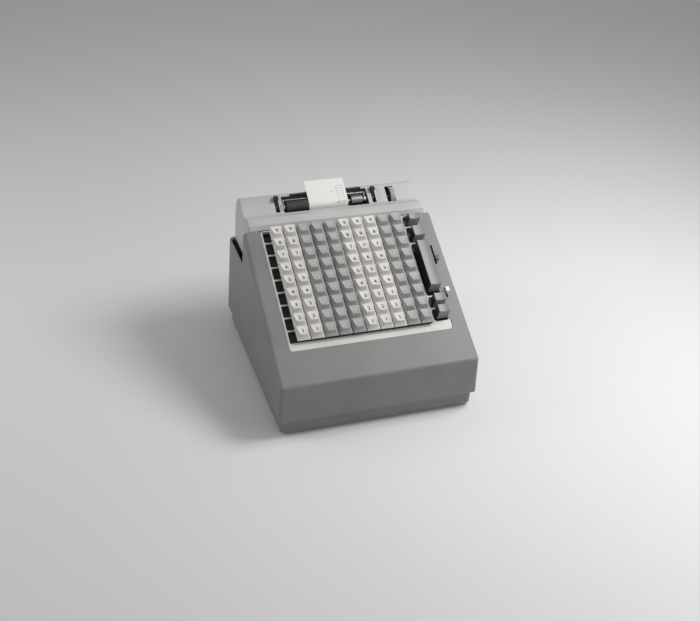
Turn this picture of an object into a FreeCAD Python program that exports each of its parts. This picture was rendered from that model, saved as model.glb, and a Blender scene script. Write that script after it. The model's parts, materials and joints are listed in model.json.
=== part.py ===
import FreeCAD, Part
import math
import os

os.makedirs("parts", exist_ok=True)
V = FreeCAD.Vector

# All sizes are in millimetres. X runs to the right seen from the front, Y to the rear, Z up.
# The origin lies on the table under the middle of the case.

# Digit keys, as levels above the deck surface
key_columns = 10
key_rows = 9
key_pitch = 19.05
key_gap = 0.75
key_skirt_level = 5.0
key_skirt_height = 1.2
key_waist = 15.8
key_waist_level = 9.0
key_top_radius = 7.0
key_top_level = 15.0
key_top_tilt = 6.0
key_rim = 0.4
key_dish_depth = 0.9
key_travel = 5.5
stem_thickness = 1.6
stem_width = 5.0
stem_foot_level = -37.0
stem_overlap = 2.0
collar_thickness = 3.0
collar_width = 8.0
collar_height = 1.5
spring_inner_radius = 3.0
spring_wire = 0.6

# Case
case_wall = 3.0
case_edge_radius = 5.0
side_draft = 0.02
foot_height = 5.0
pan_height = 20.0
fascia_height = 53.7
front_lean = 2.2
deck_slope = 28.5
deck_strip_left = 25.8
deck_strip_right = 23.3
deck_strip_front = 49.5
ledge_rise = 116.0
ledge_rim = 1.2
ledge_lip_width = 6.0
case_flange_width = 8.0
drop_wall_rib = 4.5

# Base pan and feet
pan_inset = 4.5
pan_wall = 2.5
pan_floor = 2.0
pan_corner_radius = 6.0
foot_radius = 9.0
foot_inset_x = 33.3
foot_inset_y = 30.0

# Hood over the printer
hood_depth = 74.7
hood_side_inset = 9.6
hood_draft = 0.02
hood_wall = 2.0
hood_edge_radius = 3.0
hood_front_gap = 0.3
hood_rear_inset = 2.5
hood_front_rise = 7.2
hood_front_run = 3.7
hood_band_run = 15.2
hood_band_rise = 10.6
hood_valley_run = 33.4
hood_valley_rise = 3.2
hood_ridge_run = 13.3
hood_rear_shoulder_drop = 12.3
hood_rear_shoulder_run = 2.0
hood_rear_straight_drop = 32.3
face_slope = 32.0
band_front_radius = 5.0
band_top_radius = 8.0
valley_radius = 6.0
ridge_radius = 8.0
rear_shoulder_radius = 6.0

# Openings in the hood face, measured across and up the face from the valley
window_left = -68.0
window_right = 57.0
window_low = 1.0
window_top_margin = 6.0
notch_left = -55.0
notch_right = 50.0
notch_top_margin = 2.0
window_corner_radius = 1.5
lever_slot_low = 2.5
lever_slot_width = 6.0

# Keyboard opening in the deck, as margins around the digit keys
opening_margin_left = 11.2
opening_margin_right = 25.8
opening_margin_low = 10.8
opening_margin_high = 0.75
opening_corner_radius = 5.0

# Plates under the keys, as levels below the deck surface
bezel_level = -0.8
bezel_flange_level = -4.5
bezel_thickness = 2.0
bezel_wall = 1.5
bezel_under_deck = 3.0
bezel_edge_gap = 0.5
bezel_tail = 5.5
bezel_row_web = 1.9
bezel_band_left = 3.0
bezel_band_right = 1.5
bezel_slot_end = 0.7
upper_plate_level = -11.5
lower_plate_level = -31.5
key_plate_thickness = 1.5
plate_margin_low = 3.5
plate_tail = 1.5
stem_clearance = 0.3
peep_hole = 6.0
peep_hole_setback = 5.5

# Function keys on the right of the keyboard, each with its gaps to its own opening
function_key_gap = 7.5
function_key_width = 15.3
function_key_level = 15.0
function_key_skirt_level = -3.0
function_key_dish_radius = 24.0
function_key_dish_depth = 1.4
function_key_lean = 2.5
function_key_travel = 6.0
function_opening_gap = 3.3
function_opening_radius = 3.5
function_margin_low = 3.2
function_margin_high = 0.75
function_web = 2.0
total_opening = 18.5
total_key_front_gap = 6.5
total_key_rear_gap = 1.2
subtotal_opening = 16.5
subtotal_key_front_gap = 3.7
subtotal_key_rear_gap = 2.0
motor_bar_front_gap = 9.5
motor_bar_rear_gap = 3.0
repeat_opening = 24.5
repeat_key_front_gap = 3.7
repeat_key_rear_gap = 5.5
non_add_opening = 17.5
non_add_key_front_gap = 3.7
non_add_key_rear_gap = 5.0
two_stem_length = 40.0

# Slide levers in the right hand strip of the deck
deck_lever_inset = 17.8
deck_lever_thickness = 1.6
deck_slot_width = 3.0
deck_slot_corner_radius = 1.45
deck_lever_shoe_length = 14.0
deck_lever_stalk_length = 5.0
deck_lever_shoe_low = -6.0
deck_lever_play = 0.4
deck_lever_top = 4.0
knob_width = 5.0
knob_length = 7.0
knob_height = 5.0
knob_corner_radius = 1.2
long_slot_setback = 83.5
long_slot_length = 31.0
long_lever_rest = 6.0
short_slot_setback = 46.5
short_slot_length = 16.0
short_lever_rest = 9.0

# Side frames, rods and plates of the mechanism
frame_inset = 16.8
frame_thickness = 2.0
frame_front_inset = 14.0
frame_rear_inset = 11.0
frame_deck_level = -9.0
frame_hood_clearance = 4.0
frame_passage_gap = 0.8
platen_bracket_wall = 2.5
cross_rod_radius = 5.0
front_rod_inset = 13.0
front_rod_z = 45.0
middle_rod_y = -30.0
middle_rod_z = 60.0
rear_rod_inset = 7.0
rear_rod_z = 105.0
running_fit = 0.05
shaft_end_inset = 0.1

# Printer, with the platen below the middle of the window in the hood face
platen_front_offset = 0.5
platen_depth = 7.8
platen_radius = 8.2
platen_left = -62.0
platen_right = 27.0
platen_collar_left = 33.0
platen_collar_right = 49.0
platen_collar_radius = 8.0
platen_shaft_radius = 3.0
wheel_left = 90.0
wheel_right = 96.0
wheel_ribs = 36
wheel_rib_depth = 0.7
wheel_slot_left = 85.0
wheel_slot_right = 97.5
wheel_slot_low = 0.9
wheel_slot_gap = 0.5
lever_thickness = 3.4
lever_arm_width = 4.0
lever_hub_radius = 5.5
lever_reach = 13.0
lever_knob_length = 7.0
lever_knob_height = 4.5
lever_knob_width = 5.4
lever_tilt = 40.0
paper_release_x = -76.0
line_space_x = 65.5
bail_left = -66.5
bail_right = 54.5
bail_arm_thickness = 2.0
bail_arm_width = 4.0
bail_rod_radius = 1.0
bail_rod_along = 9.0
bail_rod_up = 4.2

# Paper
paper_width = 57.0
paper_left = -30.0
paper_thickness = 0.25
paper_gap = 0.3
paper_reach = 33.5
roll_front_gap = 3.0
roll_rear_gap = 3.5
roll_rise = 9.0
roll_core_outer = 6.0
roll_core_inner = 4.3
roll_spindle_radius = 4.0

# Ribbon
spool_x = 82.0
spool_setback = 22.2
spool_floor_drop = 17.8
spool_height = 14.0
spool_flange = 1.4
spool_flange_radius = 11.0
spool_wound_radius = 10.0
spool_post_radius = 3.0
spool_bore_clearance = 0.3
ribbon_thickness = 0.3
ribbon_gap = 0.3
ribbon_edge_gap = 0.5
shelf_thickness = 1.5
shelf_inner_x = 66.0
shelf_half_depth = 12.0

# Type bars
type_bar_pitch = 5.2
type_bar_thickness = 2.0
type_bar_setback = 3.0
type_bar_depth = 5.0
type_bar_foot_z = 100.0
type_bar_height = 72.0
type_rest_height = 4.0
type_rest_margin = 1.0
type_guide_z = 118.0
type_guide_thickness = 3.0
type_guide_margin = 5.0
type_clearance = 0.3

# Adding wheels
adding_setback = 10.2
adding_z = 95.0
adding_shaft_radius = 4.0
adding_wheel_radius = 11.0
adding_wheel_width = 6.0
adding_teeth = 10
adding_tooth_height = 2.5

# Drive
motor_setback = 33.2
motor_z = 55.0
motor_radius = 32.0
motor_left = -100.0
motor_right = -22.0
motor_shaft_radius = 4.0
motor_bore_depth = 20.0
motor_foot_width = 10.0
motor_foot_spread = 18.0
motor_foot_inset = 5.0
motor_foot_top = 30.0
gear_module = 2.0
pinion_teeth = 12
drive_teeth = 36
gear_left = -12.0
gear_width = 8.0
gear_addendum = 0.8
gear_dedendum = 1.2
tooth_root_share = 0.58
tooth_tip_share = 0.26
pinion_shaft_end = 2.0
pinion_end_gap = 0.3
main_shaft_radius = 5.0
cam_radius = 15.0
cam_offset = 5.0
cam_width = 6.0
cam_positions = [30.0, 60.0, 90.0]

# Screws and power inlet
screw_clearance = 0.05
base_screw_radius = 1.9
base_screw_head_radius = 3.5
base_screw_head = 2.0
base_screw_inset_x = 10.5
base_screw_inset_y = 42.0
hood_screw_radius = 1.9
hood_screw_head_radius = 4.0
hood_screw_head = 2.0
hood_screw_inset = 27.2
hood_screw_rise = 11.0
tab_width = 20.0
tab_height = 20.0
inlet_inset = 66.3
inlet_z = 60.0
inlet_width = 24.0
inlet_height = 16.0
inlet_lip = 3.0
inlet_lip_thickness = 2.0
inlet_fit = 0.2
inlet_recess = 0.6
pin_radius = 2.0
pin_spacing = 10.0
pin_length = 9.0

# Derived places of the case, from the keys outwards
slope_cos = math.cos(math.radians(deck_slope))
slope_sin = math.sin(math.radians(deck_slope))
key_base = key_pitch - key_gap
key_dish_radius = ((key_top_radius - key_rim) ** 2 + key_dish_depth ** 2) / (2 * key_dish_depth)
grid_width = key_columns * key_pitch
grid_depth = key_rows * key_pitch
opening_width = opening_margin_left + grid_width + opening_margin_right
case_width = deck_strip_left + opening_width + deck_strip_right
half_width = case_width / 2
deck_length = deck_strip_front + opening_margin_low + grid_depth + opening_margin_high
case_depth = front_lean + deck_length * slope_cos + hood_front_gap + hood_depth + hood_rear_inset
rear_y = case_depth / 2
case_bottom = foot_height + pan_height
fascia_top = case_bottom + fascia_height
ledge_z = case_bottom + ledge_rise
front_edge_y = -rear_y + front_lean
drop_y = front_edge_y + deck_length * slope_cos
shoulder_z = fascia_top + deck_length * slope_sin
ledge_half_width = half_width - side_draft * ledge_rise
deck_placement = FreeCAD.Placement(V(0, front_edge_y, fascia_top), FreeCAD.Rotation(V(1, 0, 0), deck_slope))

# Derived places of the keyboard, across and up the deck
opening_left = -half_width + deck_strip_left
opening_right = half_width - deck_strip_right
opening_low = deck_strip_front
key_grid_left = opening_left + opening_margin_left
key_grid_right = key_grid_left + grid_width
key_grid_low = opening_low + opening_margin_low
key_grid_high = key_grid_low + grid_depth
plate_low = opening_low - plate_margin_low
plate_high = deck_length + plate_tail
collar_high = upper_plate_level - key_plate_thickness
collar_low = collar_high - collar_height
function_key_left = key_grid_right + function_key_gap
function_opening_left = key_grid_right + function_opening_gap
function_opening_right = opening_right - bezel_band_right
total_opening_low = key_grid_low + function_margin_low
subtotal_opening_low = total_opening_low + total_opening + function_web
motor_bar_opening_low = subtotal_opening_low + subtotal_opening + function_web
non_add_opening_low = key_grid_high - function_margin_high - non_add_opening
repeat_opening_low = non_add_opening_low - function_web - repeat_opening
motor_bar_opening = repeat_opening_low - function_web - motor_bar_opening_low
deck_lever_x = half_width - deck_lever_inset
long_slot_low = deck_length - long_slot_setback
short_slot_low = opening_low + short_slot_setback

# Derived places of the hood and the printer
hood_half_width = half_width - hood_side_inset
hood_front_y = drop_y + hood_front_gap
hood_rear_y = hood_front_y + hood_depth
valley_y = hood_front_y + hood_valley_run
valley_z = shoulder_z + hood_valley_rise
face_cos = math.cos(math.radians(face_slope))
face_sin = math.sin(math.radians(face_slope))
face_length = (hood_depth - hood_valley_run - hood_ridge_run) / face_cos
ridge_y = valley_y + face_length * face_cos
ridge_z = valley_z + face_length * face_sin
face_placement = FreeCAD.Placement(V(0, valley_y, valley_z), FreeCAD.Rotation(V(1, 0, 0), face_slope))
window_high = face_length - window_top_margin
notch_high = face_length - notch_top_margin
platen_along_face = (window_low + window_high) / 2 - platen_front_offset
platen_y = valley_y + platen_along_face * face_cos + platen_depth * face_sin
platen_z = valley_z + platen_along_face * face_sin - platen_depth * face_cos
wheel_slot_high = 2 * platen_along_face - wheel_slot_low
wheel_radius = math.hypot(platen_along_face - wheel_slot_low - wheel_slot_gap, platen_depth - hood_wall)
spool_y = hood_front_y + spool_setback
spool_floor = valley_z - spool_floor_drop
type_bar_front_y = spool_y + type_bar_setback
roll_front_y = type_bar_front_y + type_bar_depth + roll_front_gap
roll_radius = (hood_rear_y - hood_wall - roll_rear_gap - roll_front_y) / 2
roll_y = roll_front_y + roll_radius
roll_z = ledge_z + roll_rise

# Derived places of the frames and the drive
frame_inner_x = half_width - frame_inset
frame_passage = frame_inner_x + frame_thickness + frame_passage_gap
frame_front_y = -rear_y + frame_front_inset
frame_rear_y = rear_y - frame_rear_inset
shaft_half = frame_inner_x + frame_thickness - shaft_end_inset
adding_y = hood_front_y + adding_setback
motor_y = hood_front_y + motor_setback
gear_distance = gear_module * (pinion_teeth + drive_teeth) / 2
main_shaft_y = motor_y - gear_distance
hood_screw_x = hood_half_width - hood_screw_inset
inlet_x = half_width - inlet_inset

# Lengths of cutting blocks and the smallest difference that counts
through = 8.0
overrun = 1.0
far = 400.0
slack = 0.01


def box(x0, x1, y0, y1, z0, z1):
    return Part.makeBox(x1 - x0, y1 - y0, z1 - z0, V(x0, y0, z0))


def rod_x(x0, x1, y, z, radius):
    return Part.makeCylinder(radius, x1 - x0, V(x0, y, z), V(1, 0, 0))


def post_z(x, y, z0, z1, radius):
    return Part.makeCylinder(radius, z1 - z0, V(x, y, z0))


def tube_z(x, y, z0, z1, inner, outer):
    return post_z(x, y, z0, z1, outer).cut(post_z(x, y, z0, z1, inner))


def round_box(x0, x1, y0, y1, z0, z1, radius):
    block = box(x0, x1, y0, y1, z0, z1)
    upright = [e for e in block.Edges if abs(e.Vertexes[0].Z - e.Vertexes[1].Z) > slack]
    return block.makeFillet(radius, upright)


def placed(shape, placement):
    moved = shape.copy()
    moved.Placement = placement.multiply(moved.Placement)
    return moved


def on_deck(shape):
    return placed(shape, deck_placement)


def on_face(shape):
    return placed(shape, face_placement)


def rounded_outline(points):
    """Closed outline in the YZ plane from (y, z, corner radius) points."""
    corners = []
    count = len(points)
    for i in range(count):
        here = V(0, points[i][0], points[i][1])
        before = V(0, points[i - 1][0], points[i - 1][1]).sub(here).normalize()
        after = V(0, points[(i + 1) % count][0], points[(i + 1) % count][1]).sub(here).normalize()
        radius = points[i][2]
        if radius == 0:
            corners.append((here, here, here))
            continue
        half_angle = before.getAngle(after) / 2
        run = radius / math.tan(half_angle)
        bisector = before.add(after).normalize()
        middle = here.add(bisector.multiply(radius / math.sin(half_angle) - radius))
        corners.append((here.add(before.multiply(run)), middle, here.add(after.multiply(run))))
    edges = []
    for i in range(count):
        start, middle, end = corners[i]
        if start != end:
            edges.append(Part.Arc(start, middle, end).toShape())
        edges.append(Part.makeLine(end, corners[(i + 1) % count][0]))
    return Part.Face(Part.Wire(edges))


def prism_x(face, half):
    moved = face.copy()
    moved.translate(V(-half, 0, 0))
    return moved.extrude(V(2 * half, 0, 0))


def side_wedge(half_width, level, draft):
    """Block with sloping left and right sides, half_width to each side at the given level."""
    low = half_width + draft * far
    high = half_width - draft * far
    corners = [V(-low, -far, level - far), V(low, -far, level - far),
               V(high, -far, level + far), V(-high, -far, level + far)]
    wire = Part.makePolygon(corners + corners[:1])
    return Part.Face(wire).extrude(V(0, 2 * far, 0))


def middle_of(edge):
    return edge.valueAt((edge.FirstParameter + edge.LastParameter) / 2)


def one_solid(shape):
    return shape.removeSplitter().Solids[0]


def case_block(inset):
    face = rounded_outline([(-rear_y, case_bottom, 0), (front_edge_y, fascia_top, 0), (drop_y, shoulder_z, 0),
                            (drop_y, ledge_z, 0), (rear_y, ledge_z, 0), (rear_y, case_bottom, 0)])
    if inset:
        face = face.makeOffset2D(-inset, 2)
    return prism_x(face, case_width).common(side_wedge(half_width - inset, case_bottom, side_draft))


def case_edges_to_round(block):
    chosen = []
    for edge in block.Edges:
        point = middle_of(edge)
        on_bottom = point.z < case_bottom + slack
        on_drop = abs(point.y - drop_y) < slack
        if not on_bottom and not on_drop:
            chosen.append(edge)
    return chosen


def deck_slot(low, length):
    half = deck_slot_width / 2
    slot = round_box(deck_lever_x - half, deck_lever_x + half, low, low + length, -through, through,
                     deck_slot_corner_radius)
    return on_deck(slot)


def make_main_case():
    block = case_block(0)
    shell = block.makeFillet(case_edge_radius, case_edges_to_round(block)).cut(case_block(case_wall))
    flange_y = rear_y - case_wall - case_flange_width
    shell = shell.cut(box(-frame_passage, frame_passage, -flange_y, flange_y, 0, case_bottom + through))
    ledge_rear_y = rear_y - case_wall - ledge_lip_width
    gap_outer_x = ledge_half_width - ledge_rim
    shell = shell.cut(box(-gap_outer_x, gap_outer_x, drop_y, ledge_rear_y,
                          ledge_z - through, ledge_z + overrun))
    shell = shell.cut(box(-frame_passage, frame_passage, drop_y - through, drop_y + overrun,
                          ledge_z - through, shoulder_z - drop_wall_rib))
    opening = round_box(opening_left, opening_right, opening_low, deck_length + 2 * through,
                        -through, through, opening_corner_radius)
    shell = shell.cut(on_deck(opening))
    shell = shell.cut(deck_slot(long_slot_low, long_slot_length))
    shell = shell.cut(deck_slot(short_slot_low, short_slot_length))
    for side in (-1, 1):
        shell = shell.fuse(hood_tab(side))
    for x, y in base_screw_places():
        shell = shell.cut(post_z(x, y, 0, case_bottom + 2 * case_wall, base_screw_radius + screw_clearance))
    shell = shell.cut(box(inlet_x - inlet_width / 2, inlet_x + inlet_width / 2, rear_y - through,
                          rear_y + overrun, inlet_z - inlet_height / 2, inlet_z + inlet_height / 2))
    return one_solid(shell)


def hood_tab(side):
    inner_y = hood_rear_y - hood_wall
    tab = box(side * hood_screw_x - tab_width / 2, side * hood_screw_x + tab_width / 2,
              inner_y - case_wall, inner_y, ledge_z - case_wall, ledge_z + tab_height)
    hole = Part.makeCylinder(hood_screw_radius + screw_clearance, through * 2,
                             V(side * hood_screw_x, inner_y - through, ledge_z + hood_screw_rise), V(0, 1, 0))
    return tab.cut(hole)


def base_screw_places():
    x = half_width - base_screw_inset_x
    y = rear_y - base_screw_inset_y
    return [(-x, -y), (-x, y), (x, -y), (x, y)]


def make_base_pan():
    half_x = half_width - pan_inset
    half_y = rear_y - pan_inset
    pan = round_box(-half_x, half_x, -half_y, half_y, foot_height, case_bottom, pan_corner_radius)
    inner = round_box(-half_x + pan_wall, half_x - pan_wall, -half_y + pan_wall, half_y - pan_wall,
                      foot_height + pan_floor, case_bottom + overrun, pan_corner_radius - pan_wall)
    pan = pan.cut(inner)
    for x, y in base_screw_places():
        pan = pan.cut(post_z(x, y, 0, case_bottom, base_screw_radius + screw_clearance))
    return one_solid(pan)


def make_rubber_feet():
    x = half_width - foot_inset_x
    y = rear_y - foot_inset_y
    places = [(-x, -y), (-x, y), (x, -y), (x, y)]
    return Part.makeCompound([post_z(px, py, 0, foot_height, foot_radius) for px, py in places])


def make_base_screws():
    screws = []
    for x, y in base_screw_places():
        head = post_z(x, y, foot_height - base_screw_head, foot_height, base_screw_head_radius)
        screws.append(head.fuse(post_z(x, y, foot_height, case_bottom + case_wall, base_screw_radius)))
    return Part.makeCompound(screws)


def make_hood_screws():
    screws = []
    for side in (-1, 1):
        place = V(side * hood_screw_x, hood_rear_y, ledge_z + hood_screw_rise)
        head = Part.makeCylinder(hood_screw_head_radius, hood_screw_head, place, V(0, 1, 0))
        shank = Part.makeCylinder(hood_screw_radius, hood_wall + case_wall, place, V(0, -1, 0))
        screws.append(head.fuse(shank))
    return Part.makeCompound(screws)


def hood_block(inset, bottom):
    face = rounded_outline([
        (hood_front_y, bottom, 0),
        (hood_front_y, shoulder_z, 0),
        (hood_front_y + hood_front_run, shoulder_z + hood_front_rise, band_front_radius),
        (hood_front_y + hood_band_run, shoulder_z + hood_band_rise, band_top_radius),
        (valley_y, valley_z, valley_radius),
        (ridge_y, ridge_z, ridge_radius),
        (hood_rear_y - hood_rear_shoulder_run, ridge_z - hood_rear_shoulder_drop, rear_shoulder_radius),
        (hood_rear_y, ridge_z - hood_rear_straight_drop, 0),
        (hood_rear_y, bottom, 0)])
    if inset:
        face = face.makeOffset2D(-inset, 2)
    return prism_x(face, case_width).common(side_wedge(hood_half_width - inset, ledge_z, hood_draft))


def hood_edges_to_round(block):
    chosen = []
    for edge in block.Edges:
        point = middle_of(edge)
        on_side = abs(point.x) > hood_half_width / 2
        if on_side and point.z > ledge_z + slack and point.y > hood_front_y + slack:
            chosen.append(edge)
    return chosen


def lever_slot(x):
    half = lever_slot_width / 2
    return on_face(round_box(x - half, x + half, lever_slot_low, window_high, -through, through,
                             window_corner_radius))


def make_hood():
    block = hood_block(0, ledge_z)
    hood = block.makeFillet(hood_edge_radius, hood_edges_to_round(block))
    hood = hood.cut(hood_block(hood_wall, ledge_z - 2 * through))
    front = box(-frame_passage, frame_passage, deck_length - 4 * through, deck_length + through,
                -8 * through, 0)
    hood = hood.cut(on_deck(front))
    hood = hood.cut(on_face(round_box(window_left, window_right, window_low, window_high, -through, through,
                                      window_corner_radius)))
    hood = hood.cut(on_face(round_box(notch_left, notch_right, window_high - through, notch_high,
                                      -through, through, window_corner_radius)))
    hood = hood.cut(on_face(round_box(wheel_slot_left, wheel_slot_right, wheel_slot_low, wheel_slot_high,
                                      -through, through, window_corner_radius)))
    hood = hood.cut(lever_slot(paper_release_x)).cut(lever_slot(line_space_x))
    for side in (-1, 1):
        place = V(side * hood_screw_x, hood_rear_y - through, ledge_z + hood_screw_rise)
        hood = hood.cut(Part.makeCylinder(hood_screw_radius + screw_clearance, 2 * through, place, V(0, 1, 0)))
    return one_solid(hood)


def key_centre(column, row):
    return V(key_grid_left + (column + 0.5) * key_pitch, key_grid_low + (row + 0.5) * key_pitch, 0)


def square_wire(side, level):
    half = side / 2
    corners = [V(-half, -half, level), V(half, -half, level), V(half, half, level), V(-half, half, level)]
    return Part.makePolygon(corners + corners[:1])


def quartered_circle(radius, level):
    """A circle in four arcs that start over the corners of a square."""
    arcs = []
    for quarter in range(4):
        turns = [(quarter + step) * math.pi / 2 - math.pi * 3 / 4 for step in (0, 1 / 2, 1)]
        points = [V(radius * math.cos(turn), radius * math.sin(turn), level) for turn in turns]
        arcs.append(Part.Arc(*points).toShape())
    return Part.Wire(arcs)


def key_stem(top):
    stem = box(-stem_thickness / 2, stem_thickness / 2, -stem_width / 2, stem_width / 2, stem_foot_level, top)
    collar = box(-collar_thickness / 2, collar_thickness / 2, -collar_width / 2, collar_width / 2,
                 collar_low, collar_high)
    return stem.fuse(collar)


def digit_key():
    """Square skirt, hollow flanks and a round dished top, raised at the front, on a flat steel stem."""
    skirt_top = key_skirt_level + key_skirt_height
    half = key_base / 2
    skirt = box(-half, half, -half, half, key_skirt_level, skirt_top)
    waist = square_wire(key_waist, key_waist_level)
    flank = Part.makeLoft([square_wire(key_base, skirt_top), waist], True, True)
    top_middle = V(0, 0, key_top_level)
    rim = quartered_circle(key_top_radius, key_top_level)
    rim.rotate(top_middle, V(1, 0, 0), -key_top_tilt)
    crown = Part.makeLoft([waist, rim], True, True)
    dish = Part.makeSphere(key_dish_radius, V(0, 0, key_top_level + key_dish_radius - key_dish_depth))
    dish.rotate(top_middle, V(1, 0, 0), -key_top_tilt)
    body = skirt.fuse(flank).fuse(crown).cut(dish)
    return one_solid(body.fuse(key_stem(key_skirt_level + stem_overlap)))


def make_key_column(column, key):
    keys = []
    for row in range(key_rows):
        moved = key.copy()
        moved.translate(key_centre(column, row))
        keys.append(on_deck(moved))
    return Part.makeCompound(keys)


def function_keys():
    """Name, opening and front and rear gap of every function key."""
    return [("total_key", total_opening_low, total_opening, total_key_front_gap, total_key_rear_gap),
            ("subtotal_key", subtotal_opening_low, subtotal_opening, subtotal_key_front_gap,
             subtotal_key_rear_gap),
            ("motor_bar", motor_bar_opening_low, motor_bar_opening, motor_bar_front_gap, motor_bar_rear_gap),
            ("repeat_key", repeat_opening_low, repeat_opening, repeat_key_front_gap, repeat_key_rear_gap),
            ("non_add_key", non_add_opening_low, non_add_opening, non_add_key_front_gap, non_add_key_rear_gap)]


def function_stem_places(low, length):
    """A long bar stands on two stems, a short key on one."""
    x = function_key_left + function_key_width / 2
    if length > two_stem_length:
        return [V(x, low + length / 4, 0), V(x, low + length * 3 / 4, 0)]
    return [V(x, low + length / 2, 0)]


def make_function_key(low, length):
    right = function_key_left + function_key_width
    foot = function_key_skirt_level
    top = function_key_level
    side = [V(function_key_left, low - function_key_lean, foot), V(function_key_left, low + length, foot),
            V(function_key_left, low + length, top), V(function_key_left, low, top)]
    body = Part.Face(Part.makePolygon(side + side[:1])).extrude(V(function_key_width, 0, 0))
    hollow_level = top + function_key_dish_radius - function_key_dish_depth
    middle = (function_key_left + right) / 2
    dish = Part.makeCylinder(function_key_dish_radius, length * 2, V(middle, low - length / 2, hollow_level),
                             V(0, 1, 0))
    body = body.cut(dish)
    for place in function_stem_places(low, length):
        stem = key_stem(foot + stem_overlap)
        stem.translate(place)
        body = body.fuse(stem)
    return on_deck(one_solid(body))


def stem_places():
    places = [key_centre(column, row) for column in range(key_columns) for row in range(key_rows)]
    for name, low, opening, front_gap, rear_gap in function_keys():
        places += function_stem_places(low + front_gap, opening - front_gap - rear_gap)
    return places


def make_key_springs():
    springs = []
    for place in stem_places():
        coil = tube_z(place.x, place.y, lower_plate_level, collar_low, spring_inner_radius,
                      spring_inner_radius + spring_wire)
        springs.append(on_deck(coil))
    return Part.makeCompound(springs)


def make_key_plate(level, with_peep_holes):
    plate = box(-frame_inner_x, frame_inner_x, plate_low, plate_high, level - key_plate_thickness, level)
    half_x = stem_thickness / 2 + stem_clearance
    half_y = stem_width / 2 + stem_clearance
    holes = []
    for place in stem_places():
        holes.append(box(place.x - half_x, place.x + half_x, place.y - half_y, place.y + half_y,
                         level - through, level + overrun))
    if with_peep_holes:
        peep_low = opening_low + peep_hole_setback
        for column in range(key_columns):
            x = key_centre(column, 0).x
            holes.append(box(x - peep_hole / 2, x + peep_hole / 2, peep_low, peep_low + peep_hole,
                             level - through, level + overrun))
    return on_deck(one_solid(plate.cut(Part.makeCompound(holes))))


def make_keyboard_bezel():
    left = opening_left - bezel_under_deck
    right = opening_right + bezel_under_deck
    low = opening_low - bezel_under_deck
    high = deck_length + bezel_tail
    slot_left = opening_left + bezel_band_left
    slot_right = key_grid_right - bezel_slot_end
    under = bezel_level - bezel_thickness
    flange_under = bezel_flange_level - bezel_thickness
    bezel = box(left, right, low, high, upper_plate_level, bezel_flange_level)
    bezel = bezel.cut(box(left + bezel_wall, right - bezel_wall, low + bezel_wall, high - bezel_wall,
                          upper_plate_level - overrun, flange_under))
    bezel = bezel.cut(box(left - overrun, right + overrun, plate_high, high + overrun,
                          upper_plate_level - overrun, flange_under))
    frame_left = opening_left + bezel_edge_gap
    frame_right = opening_right - bezel_edge_gap
    frame_low = opening_low + bezel_edge_gap
    frame_high = deck_length - bezel_edge_gap
    bezel = bezel.fuse(round_box(frame_left, frame_right, frame_low, frame_high, flange_under, bezel_level,
                                 opening_corner_radius - bezel_edge_gap))
    bezel = bezel.cut(box(frame_left + bezel_wall, frame_right - bezel_wall, frame_low + bezel_wall,
                          frame_high - bezel_wall, flange_under - overrun, under))
    for row in range(key_rows):
        row_low = key_grid_low + row * key_pitch + bezel_row_web / 2
        bezel = bezel.cut(box(slot_left, slot_right, row_low, row_low + key_pitch - bezel_row_web,
                              under - overrun, bezel_level + overrun))
    for name, opening_front, opening, front_gap, rear_gap in function_keys():
        bezel = bezel.cut(round_box(function_opening_left, function_opening_right, opening_front,
                                    opening_front + opening, under - overrun, bezel_level + overrun,
                                    function_opening_radius))
    return on_deck(one_solid(bezel))


def make_deck_lever(slot_low, rest):
    middle = slot_low + rest
    half = deck_lever_thickness / 2
    shoe = box(deck_lever_x - half, deck_lever_x + half, middle - deck_lever_shoe_length / 2,
               middle + deck_lever_shoe_length / 2, deck_lever_shoe_low, -case_wall - deck_lever_play)
    stalk = box(deck_lever_x - half, deck_lever_x + half, middle - deck_lever_stalk_length / 2,
                middle + deck_lever_stalk_length / 2, deck_lever_shoe_low, deck_lever_top)
    knob = round_box(deck_lever_x - knob_width / 2, deck_lever_x + knob_width / 2, middle - knob_length / 2,
                     middle + knob_length / 2, deck_lever_top, deck_lever_top + knob_height, knob_corner_radius)
    return on_deck(one_solid(shoe.fuse(stalk).fuse(knob)))


def frame_outline():
    level = frame_deck_level
    low_u = (frame_front_y - front_edge_y + level * slope_sin) / slope_cos
    low_z = fascia_top + low_u * slope_sin + level * slope_cos
    high_y = drop_y + frame_hood_clearance
    high_u = (high_y - front_edge_y + level * slope_sin) / slope_cos
    high_z = fascia_top + high_u * slope_sin + level * slope_cos
    floor = foot_height + pan_floor
    bracket = platen_shaft_radius + platen_bracket_wall
    points = [(frame_front_y, floor), (frame_front_y, low_z), (high_y, high_z),
              (valley_y - frame_hood_clearance, valley_z - 2 * frame_hood_clearance),
              (platen_y - bracket, platen_z + frame_hood_clearance / 2),
              (platen_y + bracket, platen_z + frame_hood_clearance),
              (frame_rear_y, platen_z - frame_hood_clearance), (frame_rear_y, floor)]
    return rounded_outline([(y, z, 0) for y, z in points])


def make_side_frame(side):
    face = frame_outline()
    start = frame_inner_x if side > 0 else -frame_inner_x - frame_thickness
    face.translate(V(start, 0, 0))
    plate = face.extrude(V(frame_thickness, 0, 0))
    bores = [(platen_y, platen_z, platen_shaft_radius + running_fit),
             (adding_y, adding_z, adding_shaft_radius + running_fit),
             (main_shaft_y, motor_z, main_shaft_radius + running_fit)]
    for y, z, radius in bores:
        plate = plate.cut(rod_x(-case_width, case_width, y, z, radius))
    return one_solid(plate)


def make_cross_rods():
    places = [(frame_front_y + front_rod_inset, front_rod_z), (middle_rod_y, middle_rod_z),
              (frame_rear_y - rear_rod_inset, rear_rod_z)]
    return Part.makeCompound([rod_x(-frame_inner_x, frame_inner_x, y, z, cross_rod_radius) for y, z in places])


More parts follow.
